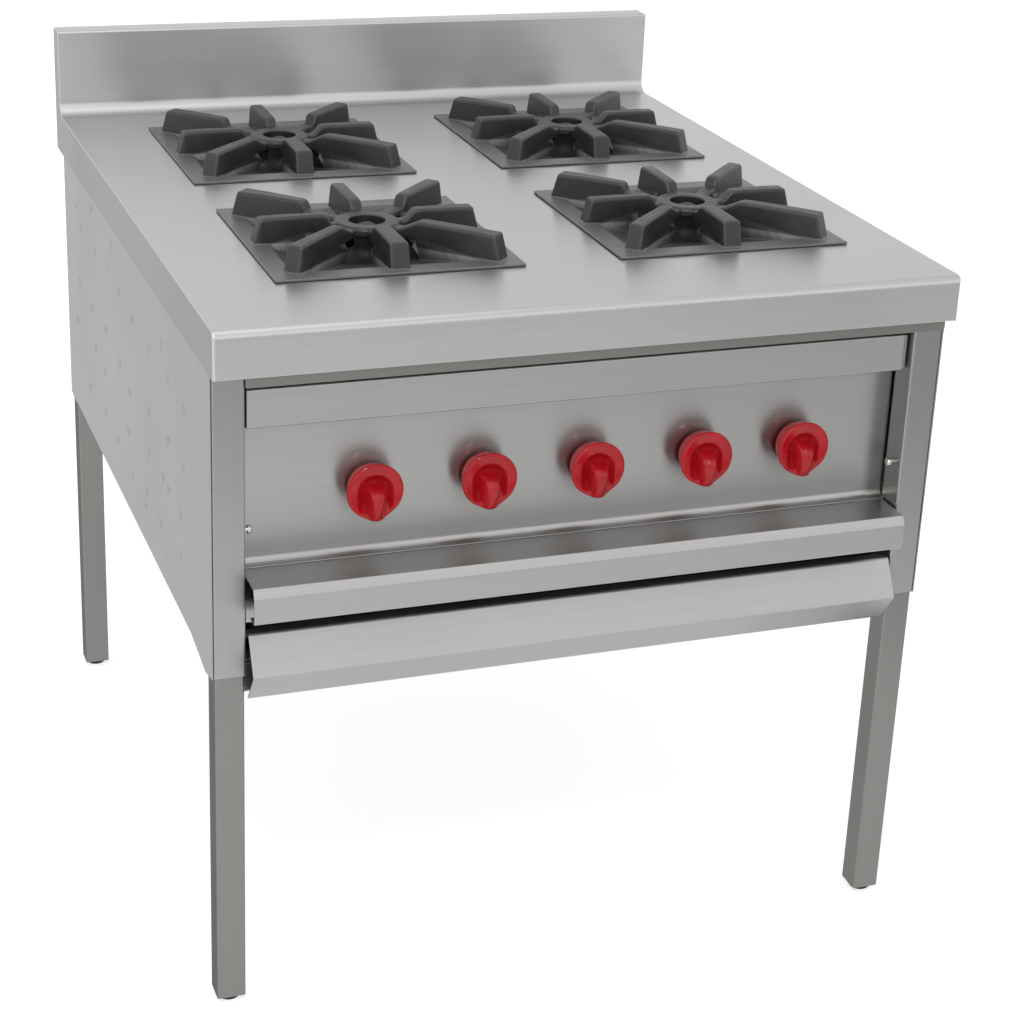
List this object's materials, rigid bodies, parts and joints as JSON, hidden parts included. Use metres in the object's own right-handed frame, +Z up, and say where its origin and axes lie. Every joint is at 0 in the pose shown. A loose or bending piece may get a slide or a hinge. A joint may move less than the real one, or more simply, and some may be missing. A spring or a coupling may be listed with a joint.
{
  "type": "commercial gas range",
  "caption": "Open-stand stainless gas range with backsplash, lift-off cast grates over open burners, red control knobs, front ledge and slide-out drip tray.",
  "frame": {"origin": "on the floor, under the centre of the box that the whole range fills", "axes": "+X to the right of a person facing the knobs, -Y towards that person, +Z up"},
  "size_m": [0.914, 1.032, 0.995],
  "materials": {
    "stainless_sheet": "satin, brushed along the length",
    "stainless_tube": "satin, brushed along the tube",
    "galvanised_sheet": "dull zinc",
    "cast_iron": "matte black enamel on fine sand-cast grain",
    "burner_iron": "bare sand-cast iron, heat darkened",
    "red_knob": "glossy deep red phenolic",
    "black_plastic": "moulded, slightly worn",
    "zinc_screw": "bright zinc",
    "gas_pipe": "dark grey painted steel pipe",
    "copper_tube": "dull copper",
    "brass": "machined brass"
  },
  "bodies": {
    "frame": {"worktop": "stainless_sheet", "backsplash_back": "stainless_sheet", "back_panel": "galvanised_sheet", "side_panel_left": "stainless_sheet", "side_panel_right": "stainless_sheet", "front_filler": "stainless_sheet", "front_top_rail": "stainless_sheet", "front_mid_rail": "stainless_sheet", "front_bottom_rail": "stainless_sheet", "control_panel": "stainless_sheet", "front_ledge": "stainless_sheet", "tray_runner_left": "galvanised_sheet", "tray_runner_right": "galvanised_sheet", "panel_screw_left": "zinc_screw", "panel_screw_right": "zinc_screw", "post_front_left": "stainless_tube", "post_front_right": "stainless_tube", "post_rear_left": "stainless_tube", "post_rear_right": "stainless_tube", "leg_front_left": "stainless_tube", "leg_front_right": "stainless_tube", "leg_rear_left": "stainless_tube", "leg_rear_right": "stainless_tube", "foot_front_left": "black_plastic", "foot_front_right": "black_plastic", "foot_rear_left": "black_plastic", "foot_rear_right": "black_plastic", "burner_support_front": "galvanised_sheet", "burner_support_rear": "galvanised_sheet", "burner_front_left": "burner_iron", "burner_front_right": "burner_iron", "burner_rear_left": "burner_iron", "burner_rear_right": "burner_iron", "burner_cap_front_left": "burner_iron", "burner_cap_front_right": "burner_iron", "burner_cap_rear_left": "burner_iron", "burner_cap_rear_right": "burner_iron", "gas_manifold": "gas_pipe", "gas_inlet": "gas_pipe", "pilot_line": "copper_tube", "gas_valve_1": "brass", "gas_valve_2": "brass", "gas_valve_3": "brass", "gas_valve_4": "brass", "gas_valve_5": "brass"},
    "drip_tray": {"drip_tray": "stainless_sheet"},
    "grate_front_left": {"grate_front_left": "cast_iron"},
    "grate_front_right": {"grate_front_right": "cast_iron"},
    "grate_rear_left": {"grate_rear_left": "cast_iron"},
    "grate_rear_right": {"grate_rear_right": "cast_iron"},
    "knob_1": {"knob_1": "red_knob", "valve_stem_1": "brass"},
    "knob_2": {"knob_2": "red_knob", "valve_stem_2": "brass"},
    "knob_3": {"knob_3": "red_knob", "valve_stem_3": "brass"},
    "knob_4": {"knob_4": "red_knob", "valve_stem_4": "brass"},
    "knob_5": {"knob_5": "red_knob", "valve_stem_5": "brass"}
  },
  "joints": [
    {"name": "drip_tray_slide", "type": "slide", "parent": "frame", "child": "drip_tray", "axis": [0, -1, 0], "range_m": [0, 0.6]},
    {"name": "grate_front_left_lift", "type": "slide", "parent": "frame", "child": "grate_front_left", "axis": [0, 0, 1], "range_m": [0, 0.12]},
    {"name": "grate_front_right_lift", "type": "slide", "parent": "frame", "child": "grate_front_right", "axis": [0, 0, 1], "range_m": [0, 0.12]},
    {"name": "grate_rear_left_lift", "type": "slide", "parent": "frame", "child": "grate_rear_left", "axis": [0, 0, 1], "range_m": [0, 0.12]},
    {"name": "grate_rear_right_lift", "type": "slide", "parent": "frame", "child": "grate_rear_right", "axis": [0, 0, 1], "range_m": [0, 0.12]},
    {"name": "knob_1_turn", "type": "hinge", "parent": "frame", "child": "knob_1", "pos_m": [-0.26, -0.45, 0.653], "axis": [0, -1, 0], "range_deg": [0, 90]},
    {"name": "knob_2_turn", "type": "hinge", "parent": "frame", "child": "knob_2", "pos_m": [-0.121, -0.45, 0.653], "axis": [0, -1, 0], "range_deg": [0, 90]},
    {"name": "knob_3_turn", "type": "hinge", "parent": "frame", "child": "knob_3", "pos_m": [0.015, -0.45, 0.653], "axis": [0, -1, 0], "range_deg": [0, 90]},
    {"name": "knob_4_turn", "type": "hinge", "parent": "frame", "child": "knob_4", "pos_m": [0.156, -0.45, 0.653], "axis": [0, -1, 0], "range_deg": [0, 90]},
    {"name": "knob_5_turn", "type": "hinge", "parent": "frame", "child": "knob_5", "pos_m": [0.286, -0.45, 0.653], "axis": [0, -1, 0], "range_deg": [0, 90]}
  ]
}
